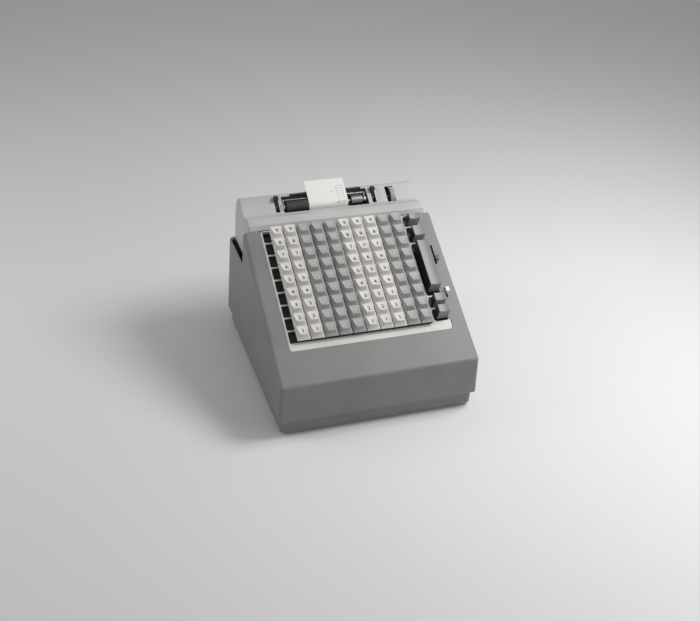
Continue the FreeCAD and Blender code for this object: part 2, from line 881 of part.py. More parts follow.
def make_platen_roller():
    roller = rod_x(platen_left, platen_right, platen_y, platen_z, platen_radius)
    return roller.cut(rod_x(platen_left, platen_right, platen_y, platen_z, platen_shaft_radius + running_fit))


def make_platen_collar():
    collar = rod_x(platen_collar_left, platen_collar_right, platen_y, platen_z, platen_collar_radius)
    bore_radius = platen_shaft_radius + running_fit
    return collar.cut(rod_x(platen_collar_left, platen_collar_right, platen_y, platen_z, bore_radius))


def make_platen_shaft():
    return rod_x(-shaft_half, shaft_half, platen_y, platen_z, platen_shaft_radius)


def toothed_disc(x0, width, teeth, root_radius, tip_radius, root_share, tip_share, start_angle):
    """Wheel along X with straight sided teeth, one tooth centred on start_angle from +Y."""
    points = []
    step = 2 * math.pi / teeth
    for tooth in range(teeth):
        centre = start_angle + tooth * step
        corners = [(root_radius, -root_share / 2), (tip_radius, -tip_share / 2),
                   (tip_radius, tip_share / 2), (root_radius, root_share / 2)]
        for radius, share in corners:
            angle = centre + share * step
            points.append(V(x0, radius * math.cos(angle), radius * math.sin(angle)))
    return Part.Face(Part.makePolygon(points + points[:1])).extrude(V(width, 0, 0))


def make_platen_wheel():
    wheel = toothed_disc(wheel_left, wheel_right - wheel_left, wheel_ribs, wheel_radius - wheel_rib_depth,
                         wheel_radius, tooth_root_share, tooth_root_share, 0)
    wheel.translate(V(0, platen_y, platen_z))
    bore = rod_x(wheel_left, wheel_right, platen_y, platen_z, platen_shaft_radius + running_fit)
    return one_solid(wheel.cut(bore))


def shaft_bore():
    """Bore along X for the platen shaft, on the shaft's own axis."""
    return rod_x(-case_width / 2, case_width / 2, 0, 0, platen_shaft_radius + running_fit)


def make_hood_lever(x):
    """Hub on the platen shaft, an arm through the hood slot and a block shaped knob."""
    half = lever_thickness / 2
    hub = Part.makeCylinder(lever_hub_radius, lever_thickness, V(x - half, 0, 0), V(1, 0, 0))
    arm = box(x - half, x + half, -lever_arm_width / 2, lever_arm_width / 2, 0, lever_reach)
    knob = box(x - lever_knob_width / 2, x + lever_knob_width / 2, -lever_knob_length / 2,
               lever_knob_length / 2, lever_reach, lever_reach + lever_knob_height)
    lever = one_solid(hub.fuse(arm).fuse(knob).cut(shaft_bore()))
    turn = FreeCAD.Placement(V(0, platen_y, platen_z), FreeCAD.Rotation(V(1, 0, 0), face_slope - lever_tilt))
    return placed(lever, turn)


def make_paper_bail():
    """Thin rod behind the paper on two arms that hang on the platen shaft."""
    angle = math.degrees(math.atan2(bail_rod_along, bail_rod_up))
    reach = math.hypot(bail_rod_along, bail_rod_up)
    bail = Part.makeCylinder(bail_rod_radius, bail_right - bail_left, V(bail_left, 0, reach), V(1, 0, 0))
    for x in (bail_left, bail_right - bail_arm_thickness):
        bail = bail.fuse(Part.makeCylinder(lever_hub_radius, bail_arm_thickness, V(x, 0, 0), V(1, 0, 0)))
        bail = bail.fuse(box(x, x + bail_arm_thickness, -bail_arm_width / 2, bail_arm_width / 2, 0,
                             reach + bail_rod_radius))
    bail = bail.cut(shaft_bore())
    turn = FreeCAD.Placement(V(0, platen_y, platen_z), FreeCAD.Rotation(V(1, 0, 0), face_slope - angle))
    return placed(one_solid(bail), turn)


def make_paper_tape():
    """Strip from the roll up to the platen, round its front and out along the hood face."""
    platen = V(0, platen_y, platen_z)
    roll = V(0, roll_y, roll_z)
    inner = platen_radius + paper_gap
    reach = platen.sub(roll)
    lean = math.asin((roll_radius + paper_gap - inner) / reach.Length) + math.atan2(reach.y, reach.z)
    start_normal = V(0, -math.cos(lean), math.sin(lean))
    end_normal = V(0, -face_sin, face_cos)
    normals = (start_normal, start_normal.add(end_normal).normalize(), end_normal)
    along = V(0, face_cos, face_sin)
    curves = []
    for offset in (0, paper_thickness):
        start = roll.add(V(start_normal).multiply(roll_radius + paper_gap + offset))
        bend = [platen.add(V(normal).multiply(inner + offset)) for normal in normals]
        end = bend[2].add(V(along).multiply(paper_reach))
        curves.append((start, bend, end))
    edges = []
    for start, bend, end in curves:
        edges += [Part.makeLine(start, bend[0]), Part.Arc(*bend).toShape(), Part.makeLine(bend[2], end)]
    edges.append(Part.makeLine(curves[0][0], curves[1][0]))
    edges.append(Part.makeLine(curves[0][2], curves[1][2]))
    face = Part.Face(Part.Wire(Part.__sortEdges__(edges)))
    face.translate(V(paper_left, 0, 0))
    return face.extrude(V(paper_width, 0, 0))


def make_paper_roll():
    roll = rod_x(paper_left, paper_left + paper_width, roll_y, roll_z, roll_radius)
    return roll.cut(rod_x(paper_left, paper_left + paper_width, roll_y, roll_z, roll_core_outer))


def make_roll_core():
    core = rod_x(paper_left, paper_left + paper_width, roll_y, roll_z, roll_core_outer)
    return core.cut(rod_x(paper_left, paper_left + paper_width, roll_y, roll_z, roll_core_inner))


def make_roll_spindle():
    return rod_x(-frame_inner_x, frame_inner_x, roll_y, roll_z, roll_spindle_radius)


def make_ribbon_shelf(side):
    inner, outer = sorted((side * shelf_inner_x, side * frame_inner_x))
    shelf = box(inner, outer, spool_y - shelf_half_depth, spool_y + shelf_half_depth,
                spool_floor - shelf_thickness, spool_floor)
    post = post_z(side * spool_x, spool_y, spool_floor - shelf_thickness, spool_floor + spool_height,
                  spool_post_radius)
    return one_solid(shelf.fuse(post))


def make_ribbon_spool(side):
    x = side * spool_x
    top = spool_floor + spool_height
    spool = post_z(x, spool_y, spool_floor, spool_floor + spool_flange, spool_flange_radius)
    spool = spool.fuse(post_z(x, spool_y, spool_floor, top, spool_wound_radius))
    spool = spool.fuse(post_z(x, spool_y, top - spool_flange, top, spool_flange_radius))
    return one_solid(spool.cut(post_z(x, spool_y, spool_floor, top, spool_post_radius + spool_bore_clearance)))


def make_ink_ribbon():
    near = spool_y + spool_wound_radius + ribbon_gap
    low = spool_floor + spool_flange + ribbon_edge_gap
    high = spool_floor + spool_height - spool_flange - ribbon_edge_gap
    return box(-spool_x, spool_x, near, near + ribbon_thickness, low, high)


def type_bar_x(index):
    return paper_left + paper_width / 2 + (index - (key_columns - 1) / 2) * type_bar_pitch


def make_type_bars():
    half = type_bar_thickness / 2
    bars = []
    for index in range(key_columns):
        x = type_bar_x(index)
        bars.append(box(x - half, x + half, type_bar_front_y, type_bar_front_y + type_bar_depth,
                        type_bar_foot_z, type_bar_foot_z + type_bar_height))
    return Part.makeCompound(bars)


def make_type_bar_guide():
    guide = box(-frame_inner_x, frame_inner_x, type_bar_front_y - type_guide_margin,
                type_bar_front_y + type_bar_depth + type_guide_margin, type_guide_z,
                type_guide_z + type_guide_thickness)
    half = type_bar_thickness / 2 + type_clearance
    slots = []
    for index in range(key_columns):
        x = type_bar_x(index)
        slots.append(box(x - half, x + half, type_bar_front_y - type_clearance,
                         type_bar_front_y + type_bar_depth + type_clearance, type_guide_z - overrun,
                         type_guide_z + type_guide_thickness + overrun))
    return one_solid(guide.cut(Part.makeCompound(slots)))


def make_type_bar_rest():
    return box(-frame_inner_x, frame_inner_x, type_bar_front_y - type_rest_margin,
               type_bar_front_y + type_bar_depth + type_rest_margin, type_bar_foot_z - type_rest_height,
               type_bar_foot_z)


def make_adding_wheels():
    wheels = []
    for column in range(key_columns):
        x = key_centre(column, 0).x - adding_wheel_width / 2
        wheel = toothed_disc(x, adding_wheel_width, adding_teeth, adding_wheel_radius - adding_tooth_height,
                             adding_wheel_radius, tooth_root_share, tooth_tip_share, 0)
        wheel.translate(V(0, adding_y, adding_z))
        wheels.append(one_solid(wheel.cut(rod_x(x, x + adding_wheel_width, adding_y, adding_z,
                                                adding_shaft_radius + running_fit))))
    return Part.makeCompound(wheels)


def make_adding_shaft():
    return rod_x(-shaft_half, shaft_half, adding_y, adding_z, adding_shaft_radius)


def make_motor():
    motor = rod_x(motor_left, motor_right, motor_y, motor_z, motor_radius)
    for x in (motor_left + motor_foot_inset, motor_right - motor_foot_inset - motor_foot_width):
        foot = box(x, x + motor_foot_width, motor_y - motor_foot_spread, motor_y + motor_foot_spread,
                   foot_height + pan_floor, motor_foot_top)
        motor = motor.fuse(foot)
    bore = rod_x(motor_right - motor_bore_depth, motor_right, motor_y, motor_z,
                 motor_shaft_radius + running_fit)
    return one_solid(motor.cut(bore))


def gear_blank(teeth, start_angle):
    pitch_radius = gear_module * teeth / 2
    return toothed_disc(gear_left, gear_width, teeth, pitch_radius - gear_dedendum * gear_module,
                        pitch_radius + gear_addendum * gear_module,
                        tooth_root_share, tooth_tip_share, start_angle)


def make_motor_pinion():
    pinion = gear_blank(pinion_teeth, math.pi / pinion_teeth)
    pinion.translate(V(0, motor_y, motor_z))
    shaft = rod_x(motor_right - motor_bore_depth + pinion_end_gap, pinion_shaft_end, motor_y, motor_z,
                  motor_shaft_radius)
    return one_solid(pinion.fuse(shaft))


def make_drive_gear():
    gear = gear_blank(drive_teeth, 0)
    gear.translate(V(0, main_shaft_y, motor_z))
    bore = rod_x(gear_left, gear_left + gear_width, main_shaft_y, motor_z, main_shaft_radius + running_fit)
    return one_solid(gear.cut(bore))


def make_main_shaft():
    return rod_x(-shaft_half, shaft_half, main_shaft_y, motor_z, main_shaft_radius)


def make_main_cams():
    cams = []
    for x in cam_positions:
        cam = rod_x(x, x + cam_width, main_shaft_y, motor_z + cam_offset, cam_radius)
        cams.append(cam.cut(rod_x(x, x + cam_width, main_shaft_y, motor_z, main_shaft_radius + running_fit)))
    return Part.makeCompound(cams)


def make_power_inlet():
    outer_y = rear_y - inlet_recess
    wall_y = rear_y - case_wall
    half_x = inlet_width / 2 - inlet_fit
    half_z = inlet_height / 2 - inlet_fit
    block = box(inlet_x - half_x, inlet_x + half_x, wall_y - inlet_lip_thickness, outer_y,
                inlet_z - half_z, inlet_z + half_z)
    lip_x = inlet_width / 2 + inlet_lip
    lip_z = inlet_height / 2 + inlet_lip
    block = block.fuse(box(inlet_x - lip_x, inlet_x + lip_x, wall_y - inlet_lip_thickness, wall_y,
                           inlet_z - lip_z, inlet_z + lip_z))
    for side in (-1, 1):
        x = inlet_x + side * pin_spacing / 2
        block = block.cut(Part.makeCylinder(pin_radius, pin_length, V(x, outer_y, inlet_z), V(0, -1, 0)))
    return one_solid(block)


def all_parts():
    parts = {
        "main_case": make_main_case(),
        "base_pan": make_base_pan(),
        "hood": make_hood(),
        "keyboard_bezel": make_keyboard_bezel(),
        "upper_key_plate": make_key_plate(upper_plate_level, True),
        "lower_key_plate": make_key_plate(lower_plate_level, False),
        "side_frame_left": make_side_frame(-1),
        "side_frame_right": make_side_frame(1),
        "cross_rods": make_cross_rods(),
        "rubber_feet": make_rubber_feet(),
        "base_screws": make_base_screws(),
        "hood_screws": make_hood_screws(),
        "key_springs": make_key_springs(),
        "repeat_lever": make_deck_lever(long_slot_low, long_lever_rest),
        "key_release_lever": make_deck_lever(short_slot_low, short_lever_rest),
        "platen_roller": make_platen_roller(),
        "platen_collar": make_platen_collar(),
        "platen_shaft": make_platen_shaft(),
        "platen_wheel": make_platen_wheel(),
        "paper_release_lever": make_hood_lever(paper_release_x),
        "line_space_lever": make_hood_lever(line_space_x),
        "paper_bail": make_paper_bail(),
        "paper_tape": make_paper_tape(),
        "paper_roll": make_paper_roll(),
        "roll_core": make_roll_core(),
        "roll_spindle": make_roll_spindle(),
        "ribbon_shelf_left": make_ribbon_shelf(-1),
        "ribbon_shelf_right": make_ribbon_shelf(1),
        "ribbon_spool_left": make_ribbon_spool(-1),
        "ribbon_spool_right": make_ribbon_spool(1),
        "ink_ribbon": make_ink_ribbon(),
        "type_bars": make_type_bars(),
        "type_bar_guide": make_type_bar_guide(),
        "type_bar_rest": make_type_bar_rest(),
        "adding_wheels": make_adding_wheels(),
        "adding_shaft": make_adding_shaft(),
        "motor": make_motor(),
        "motor_pinion": make_motor_pinion(),
        "drive_gear": make_drive_gear(),
        "main_shaft": make_main_shaft(),
        "main_cams": make_main_cams(),
        "power_inlet": make_power_inlet(),
    }
    key = digit_key()
    for column in range(key_columns):
        parts["key_column_%02d" % (column + 1)] = make_key_column(column, key)
    for name, low, opening, front_gap, rear_gap in function_keys():
        parts[name] = make_function_key(low + front_gap, opening - front_gap - rear_gap)
    return parts


for name, shape in all_parts().items():
    shape.exportStep("parts/" + name + ".step")
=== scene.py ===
import bpy
import json
import math
from mathutils import Matrix, Vector


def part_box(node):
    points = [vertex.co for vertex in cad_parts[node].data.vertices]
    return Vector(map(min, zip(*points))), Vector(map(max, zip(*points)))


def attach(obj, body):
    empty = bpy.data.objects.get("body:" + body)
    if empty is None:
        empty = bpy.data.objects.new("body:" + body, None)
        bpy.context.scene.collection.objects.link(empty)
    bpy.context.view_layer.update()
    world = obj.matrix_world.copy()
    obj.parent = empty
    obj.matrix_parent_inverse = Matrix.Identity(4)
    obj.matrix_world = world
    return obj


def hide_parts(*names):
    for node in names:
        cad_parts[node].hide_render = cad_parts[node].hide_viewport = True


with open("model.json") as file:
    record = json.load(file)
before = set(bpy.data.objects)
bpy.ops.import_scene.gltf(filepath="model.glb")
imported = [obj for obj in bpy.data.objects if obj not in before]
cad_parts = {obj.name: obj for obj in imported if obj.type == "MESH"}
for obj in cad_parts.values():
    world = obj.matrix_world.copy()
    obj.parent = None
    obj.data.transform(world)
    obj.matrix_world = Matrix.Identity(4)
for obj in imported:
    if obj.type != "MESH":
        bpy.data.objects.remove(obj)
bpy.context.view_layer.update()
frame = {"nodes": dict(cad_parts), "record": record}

# Lengths are in metres. Pieces of the deck and of the hood's face are laid out flat, with x to the
# right, y to the rear and z outwards, and are then put in place. Points that are nearer to each
# other than TOUCH count as one place.
DECK_SLOPE = math.radians(28.5)
DECK_EDGE = Vector((0, -0.13981, 0.0787))
DECK_NORMAL = (0, -math.sin(DECK_SLOPE), math.cos(DECK_SLOPE))
DECK_PLACE = Matrix.Translation(DECK_EDGE) @ Matrix.Rotation(DECK_SLOPE, 4, "X")
FACE_SLOPE = math.radians(32)
FACE_EDGE = (0, 0.09821, 0.19284)
FACE_PLACE = Matrix.Translation(FACE_EDGE) @ Matrix.Rotation(FACE_SLOPE, 4, "X")
TOUCH = 0.00001

# The field of digit keys
KEY_ROWS = 9
KEY_COLUMNS = 10
GREY_COLUMNS = (3, 4, 5, 9, 10)
KEY_PITCH = 0.01905
KEY_LEFT = -0.1013
KEY_LOW = 0.0603

# One digit key. A section is a rise, a scale and a rounding, a ring of the dish is a scale and a
# sink, and an edge of the leaning top is its half width, its place along the deck and its level.
# Before it leans, the top is KEY_TOP_SHARE as wide as the skirt.
KEY_HALF = 0.00915
KEY_SIDE_CUTS = 8
KEY_SKIRT_LEVEL = 0.005
KEY_SECTIONS = (
    (0.0012, 1.0, 0.0),
    (0.0008, 0.91, 0.02),
    (0.0012, 0.915, 0.04),
    (0.0016, 0.95, 0.05),
    (0.0024, 0.985, 0.05),
    (0.0024, 1.03, 0.04),
    (0.0004, 0.985, 0.03),
)
KEY_HEIGHT = sum(rise for rise, scale, rounding in KEY_SECTIONS)
KEY_TOP_SHARE = 0.79
KEY_DISH_RINGS = (
    (0.93, 0.00012),
    (0.86, 0.00042),
    (0.80, 0.00034),
    (0.70, 0.00022),
    (0.5, 0.00010),
)
KEY_FRONT = (0.0046, -0.0044, 0.0136)
KEY_REAR = (0.0082, 0.0089, 0.0098)
KEY_RIM = 0.0022
KEY_STEM_SIZE = (0.0016, 0.005, 0.043)
KEY_STEM_MIDDLE = (0, 0, -0.0155)
KEY_ROUNDING = 0.0003
KEY_SHARP_ANGLE = math.radians(30)
KEY_SMOOTH_ANGLE = math.radians(50)

# Digits on the keys, sunk with the dish
DIGIT_SIZE = 0.0080
DIGIT_DEPTH = 0.00016
DIGIT_SINK = 0.0006
LETTER_CUTS = 3
LETTER_WEIGHT = 0.012

# Sums on the paper strip, six lines to the inch
SUMS = ("560 00", "12 75", "1 742 55", "85 10", "23 117 60", "138 05", "60 00")
SUM_SIZE = 0.0027
SUM_DEPTH = 0.00002
SUM_SPREAD = 1.8
SUM_PITCH = 0.00423
SUM_RIGHT = 0.0235
SUM_LOW = 0.0095
SUM_LEVEL = 0.00098

# Painted marks on the face of the hood
MARK_DEPTH = 0.00006
MARK_ROUNDING = 0.45
MARK_CUTS = 3
TICK_COUNT = 5
TICK_SIZE = (0.0028, 0.0005)
TICK_PITCH = 0.004
TICK_ACROSS = 0.0735
TICK_LOW = 0.007
GUIDE_SIZE = (0.0006, 0.010)
GUIDES_ACROSS = (-0.0715, -0.0700)
GUIDE_MIDDLE = 0.0095

# Floor, light and camera. A lamp is a name, a place, a size and a power.
FLOOR_SIZE = 30
SKY_TONE = 0.9
SKY_STRENGTH = 0.34
LAMPS = (
    ("key_lamp", (0.64, -0.14, 0.95), 0.45, 8.2),
    ("front_lamp", (0.7, -0.75, 0.35), 0.4, 1.2),
    ("side_lamp", (-1.1, 0.35, 0.6), 0.6, 2.6),
)
LAMP_AIM = Vector((0, 0, 0.1))
CAMERA_LENS = 57.8168
CAMERA_SENSOR = 36
CAMERA_NEAR = 0.05
CAMERA_PLACE = (-0.454967, -1.207360, 0.956463)
CAMERA_TURN = (55.90971, -3.39676, -18.40833)

# Colours that are not plain greys, the lines in worked metal, and nodes with a finish of their own
BOARD_BROWN = (0.42, 0.33, 0.22, 1.0)
BRASS_YELLOW = (0.62, 0.48, 0.22, 1.0)
LINES_ALONG = (0.08, 1.0, 1.0)
LINES_ROUND = (1.0, 0.2, 0.2)
SPECIAL_FINISHES = {"platen_collar": "dull_steel", "platen_wheel": "wheel_plastic"}


class Value:
    """One output of a material's nodes; arithmetic on it adds Math nodes."""

    def __init__(self, finish, socket):
        self.finish = finish
        self.socket = socket

    def math(self, operation, first, second):
        return self.finish.node("ShaderNodeMath", {"operation": operation}, {0: first, 1: second})

    def __add__(self, other):
        return self.math("ADD", self, other)

    def __radd__(self, other):
        return self.math("ADD", other, self)

    def __sub__(self, other):
        return self.math("SUBTRACT", self, other)

    def __rsub__(self, other):
        return self.math("SUBTRACT", other, self)

    def __mul__(self, other):
        return self.math("MULTIPLY", self, other)

    def __rmul__(self, other):
        return self.math("MULTIPLY", other, self)

    def step(self, low, high):
        """0 below low, 1 above high and smooth between them."""
        settings = {"interpolation_type": "SMOOTHSTEP"}
        sockets = {"Value": self, "From Min": low, "From Max": high}
        return self.finish.node("ShaderNodeMapRange", settings, sockets)


class Finish:
    """A material on one Principled shader, with its patterns in the object's own coordinates."""

    def __init__(self, name, **constants):
        self.material = bpy.data.materials.new(name)
        self.material.use_nodes = True
        self.tree = self.material.node_tree
        self.tree.nodes.clear()
        self.shader = self.tree.nodes.new("ShaderNodeBsdfPrincipled")
        output = self.tree.nodes.new("ShaderNodeOutputMaterial")
        self.tree.links.new(self.shader.outputs["BSDF"], output.inputs["Surface"])
        self.drive(**constants)
        self.place = self.node("ShaderNodeTexCoord", {}, {}, "Object")

    def node(self, kind, settings, sockets, output=0):
        """Adds a node, sets it up, feeds its sockets and gives one of its outputs."""
        made = self.tree.nodes.new(kind)
        for setting, content in settings.items():
            setattr(made, setting, content)
        for socket, content in sockets.items():
            self.feed(made.inputs[socket], content)
        return Value(self, made.outputs[output])

    def feed(self, socket, content):
        if isinstance(content, Value):
            self.tree.links.new(content.socket, socket)
        else:
            socket.default_value = content

    def drive(self, **sockets):
        """Feeds sockets of the shader, named with _ for a space."""
        for socket, content in sockets.items():
            self.feed(self.shader.inputs[socket.replace("_", " ")], content)

    def vector(self, operation, output, *contents):
        sockets = dict(enumerate(contents))
        return self.node("ShaderNodeVectorMath", {"operation": operation}, sockets, output)

    def stretched(self, scale):
        """Coordinates that draw a pattern out along the axes with a small scale."""
        return self.node("ShaderNodeMapping", {}, {"Vector": self.place, "Scale": scale})

    def noise(self, scale, detail, place=None):
        sockets = {"Vector": place or self.place, "Scale": scale, "Detail": detail}
        return self.node("ShaderNodeTexNoise", {}, sockets, "Fac")

    def threads(self, axis, scale):
        sockets = {"Vector": self.place, "Scale": scale}
        return self.node("ShaderNodeTexWave", {"bands_direction": axis}, sockets, "Fac")

    def mix(self, share, first, second):
        sockets = {0: share, 6: first, 7: second}
        return self.node("ShaderNodeMix", {"data_type": "RGBA"}, sockets, 2)

    def level(self):
        """Height above the deck, along its normal."""
        along = self.vector("DOT_PRODUCT", "Value", self.place, DECK_NORMAL)
        return along - DECK_EDGE.dot(Vector(DECK_NORMAL))

    def rounded(self, radius):
        """Normals as if every edge were rounded over a radius."""
        return self.node("ShaderNodeBevel", {"samples": 4}, {"Radius": radius})

    def edges(self, reach, low, high):
        """1 along outer and inner edges within reach, 0 on open faces."""
        true = self.node("ShaderNodeNewGeometry", {}, {}, "Normal")
        alike = self.vector("DOT_PRODUCT", "Value", self.rounded(reach), true)
        return (1 - alike).step(low, high)

    def facing_left(self):
        """1 on faces that look to the left of the machine."""
        normal = self.node("ShaderNodeTexCoord", {}, {}, "Normal")
        across = self.node("ShaderNodeSeparateXYZ", {}, {0: normal}, "X")
        return (0 - across).step(low=0.6, high=0.8)

    def bump(self, height, distance, softened=0.0):
        """Surface relief; softened rounds the look of sharp edges over that radius."""
        sockets = {"Height": height, "Distance": distance}
        if softened:
            sockets["Normal"] = self.rounded(softened)
        self.drive(Normal=self.node("ShaderNodeBump", {}, sockets, "Normal"))


def shade(colour, factor):
    return tuple(min(1.0, channel * factor) for channel in colour[:3]) + (1.0,)


def grey(tone, warmth=0.0):
    return (tone * (1 + warmth), tone, tone * (1 - 2 * warmth), 1.0)


def yellowed(colour):
    return (colour[0], colour[1] * 0.98, colour[2] * 0.92)


def enamel(name, colour, rough, edge_wear_and_highlight):
    """Sprayed satin enamel: cloudy colour, fine spray texture, lighter rubbed edges that are
    partly worn paint and partly a painted highlight, and a few scuffs.
    """
    coat = Finish(name, Specular_IOR_Level=0.45)
    cloud = coat.noise(scale=16.0, detail=4.0)
    spray = coat.noise(scale=900.0, detail=2.0)
    speck = coat.noise(scale=420.0, detail=2.0).step(low=0.66, high=0.74)
    wiped = coat.stretched((3.0, 0.5, 1.0))
    scuff = coat.noise(scale=60.0, detail=6.0, place=wiped).step(low=0.66, high=0.72)
    edge = coat.edges(reach=0.0014, low=0.04, high=0.28)
    rub = edge * coat.noise(scale=130.0, detail=4.0).step(low=0.36, high=0.62)
    body = coat.mix(cloud.step(low=0.3, high=0.7), shade(colour, 0.93), shade(colour, 1.06))
    body = coat.mix(speck * 0.22, body, shade(colour, 0.72))
    body = coat.mix(scuff * 0.25, body, shade(colour, 1.25))
    # Lighter edges: partly worn paint, partly a painted highlight along them
    body = coat.mix(rub * edge_wear_and_highlight, body, shade(colour, 1.9))
    coat.drive(Base_Color=body, Roughness=rough + cloud * 0.14 - scuff * 0.1 - rub * 0.1)
    coat.bump(spray * 0.6 + cloud * 0.4 - scuff * 0.3, distance=0.00018)
    return coat.material


def moulded(name, colour, rough, low_darkening, shade_painted_cheek=False):
    """Moulded plastic: faint flow marks, fine scratches, and colour darkened low down between the
    keys in patches.

    On a function key the left side is painted with shade: dark grey down in its well and black
    above it.
    """
    plastic = Finish(name, Specular_IOR_Level=0.5)
    cloud = plastic.noise(scale=55.0, detail=4.0)
    wiped = plastic.stretched((5.0, 0.6, 1.0))
    scratch = plastic.noise(scale=240.0, detail=5.0, place=wiped).step(low=0.64, high=0.7)
    # Colour darkened low down near the deck, between the keys, in patches
    low = 1 - plastic.level().step(low=0.0045, high=0.0075)
    patchiness = plastic.noise(scale=150.0, detail=4.0).step(low=0.35, high=0.7)
    grain = plastic.noise(scale=1300.0, detail=2.0)
    body = plastic.mix(cloud.step(low=0.3, high=0.7), shade(colour, 0.94), shade(colour, 1.05))
    body = plastic.mix(low * (0.45 + patchiness * 0.55) * low_darkening, body, shade(colour, 0.32))
    body = plastic.mix(scratch * 0.16, body, shade(colour, 1.2))
    # Painted shade on the left side of a function key: dark grey low in its well, black above
    if shade_painted_cheek:
        out = plastic.level().step(low=-0.001, high=0.006)
        painted_cheek_shade = plastic.mix(out, grey(0.085), grey(0.012))
        body = plastic.mix(plastic.facing_left(), body, painted_cheek_shade)
    plastic.drive(Base_Color=body, Roughness=rough + cloud * 0.16 + low * 0.15 - scratch * 0.06)
    plastic.bump(cloud * 0.5 + grain * 0.2 - scratch * 0.3, distance=0.0001, softened=0.0005)
    return plastic.material


def ribbed(name, colour, node):
    """Plastic of a ribbed wheel, with painted shade nearly black at the foot of its ribs."""
    plastic = Finish(name, Specular_IOR_Level=0.5)
    low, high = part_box(node)
    middle = [(first + last) / 2 for first, last in zip(low, high)]
    radius = (high[2] - low[2]) / 2
    offset = plastic.vector("SUBTRACT", "Vector", plastic.place, middle)
    flat = plastic.vector("MULTIPLY", "Vector", offset, (0, 1, 1))
    reach = plastic.vector("LENGTH", "Value", flat)
    crown = reach.step(low=radius - 0.0006, high=radius - 0.0002)
    smear = plastic.noise(scale=160.0, detail=4.0)
    body = plastic.mix(smear, shade(colour, 0.9), shade(colour, 1.08))
    # Painted shade: nearly black between the ribs, below their crowns
    body = plastic.mix(crown, shade(colour, 0.1), body)
    plastic.drive(Base_Color=body, Roughness=0.6 - crown * 0.2 + smear * 0.1)
    plastic.bump(smear, distance=0.0001)
    return plastic.material


def steel(name, colour, rough, grain):
    """Drawn or turned metal with fine lines along its grain and a little tarnish."""
    metal = Finish(name, Metallic=1.0)
    lines = metal.noise(scale=300.0, detail=4.0, place=metal.stretched(grain))
    tarnish = metal.noise(scale=45.0, detail=5.0).step(low=0.48, high=0.78)
    body = metal.mix(lines, shade(colour, 0.82), shade(colour, 1.12))
    body = metal.mix(tarnish * 0.5, body, shade(colour, 0.5))
    metal.drive(Base_Color=body, Roughness=rough + lines * 0.12 + tarnish * 0.18)
    metal.bump(lines, distance=0.00006)
    return metal.material


def blackened(name, colour):
    """Blackened sheet steel, rubbed bare along its edges."""
    metal = Finish(name, Specular_IOR_Level=0.4)
    cloud = metal.noise(scale=40.0, detail=5.0)
    edge = metal.edges(reach=0.0008, low=0.05, high=0.3)
    rub = edge * metal.noise(scale=200.0, detail=3.0).step(low=0.45, high=0.65)
    body = metal.mix(cloud, shade(colour, 0.7), shade(colour, 1.3))
    body = metal.mix(rub * 0.6, body, grey(0.3))
    metal.drive(Base_Color=body, Roughness=0.45 + cloud * 0.2, Metallic=rub * 0.8)
    metal.bump(metal.noise(scale=700.0, detail=3.0), distance=0.00008)
    return metal.material


def rubber(name, tone, pores):
    """Black rubber with a ground skin, dusty in patches."""
    skin = Finish(name, Specular_IOR_Level=0.3)
    dust = skin.noise(scale=80.0, detail=5.0).step(low=0.45, high=0.75)
    body = skin.mix(dust * 0.5, grey(tone), grey(tone * 2.6, 0.03))
    skin.drive(Base_Color=body, Roughness=0.62 + dust * 0.25)
    skin.bump(skin.noise(scale=pores, detail=3.0), distance=0.00012)
    return skin.material


def paper(name, colour):
    """Uncoated strip paper with fibres and a faint yellow cast."""
    sheet = Finish(name, Specular_IOR_Level=0.25, Roughness=0.85)
    drawn = sheet.stretched((1.0, 0.35, 0.35))
    fibre = sheet.noise(scale=700.0, detail=5.0, place=drawn)
    age = sheet.noise(scale=22.0, detail=3.0).step(low=0.4, high=0.8)
    body = sheet.mix(fibre, shade(colour, 0.94), shade(colour, 1.04))
    body = sheet.mix(age * 0.5, body, shade(yellowed(colour), 0.97))
    sheet.drive(Base_Color=body)
    sheet.bump(fibre, distance=0.00006)
    return sheet.material


def card(name, colour):
    """Wound board with fibres along the tube."""
    board = Finish(name, Specular_IOR_Level=0.2, Roughness=0.9)
    drawn = board.stretched((0.3, 1.0, 1.0))
    fibre = board.noise(scale=500.0, detail=5.0, place=drawn)
    board.drive(Base_Color=board.mix(fibre, shade(colour, 0.75), shade(colour, 1.15)))
    board.bump(fibre, distance=0.0001)
    return board.material


def inked_cloth(name):
    """Woven ribbon, soaked with ink and paler where it was struck."""
    cloth = Finish(name, Specular_IOR_Level=0.2)
    weave = cloth.threads("X", scale=900.0) * cloth.threads("Z", scale=900.0)
    struck = cloth.noise(scale=120.0, detail=4.0).step(low=0.5, high=0.75)
    body = cloth.mix(struck * 0.6, grey(0.018), grey(0.07))
    cloth.drive(Base_Color=body, Roughness=0.75 + weave * 0.2)
    cloth.bump(weave, distance=0.0001)
    return cloth.material


def casting(name, colour):
    """Painted iron casting with a sandy skin and chipped edges."""
    iron = Finish(name, Specular_IOR_Level=0.4)
    cloud = iron.noise(scale=30.0, detail=4.0)
    sand = iron.noise(scale=420.0, detail=5.0)
    edge = iron.edges(reach=0.0012, low=0.06, high=0.3)
    chip = edge * iron.noise(scale=180.0, detail=4.0).step(low=0.5, high=0.62)
    body = iron.mix(cloud, shade(colour, 0.8), shade(colour, 1.25))
    body = iron.mix(chip * 0.7, body, grey(0.32))
    iron.drive(Base_Color=body, Roughness=0.55 + sand * 0.2 - chip * 0.2, Metallic=chip * 0.8)
    iron.bump(sand, distance=0.0003)
    return iron.material


def printed(name, tone):
    """Ink or paint of the numerals and marks, worn thin in places."""
    ink = Finish(name, Specular_IOR_Level=0.3)
    thin = ink.noise(scale=500.0, detail=4.0).step(low=0.45, high=0.75)
    body = ink.mix(thin * 0.35, grey(tone), grey(tone * 0.6 + 0.14))
    ink.drive(Base_Color=body, Roughness=0.5 + thin * 0.2)
    ink.bump(thin, distance=0.00003)
    return ink.material


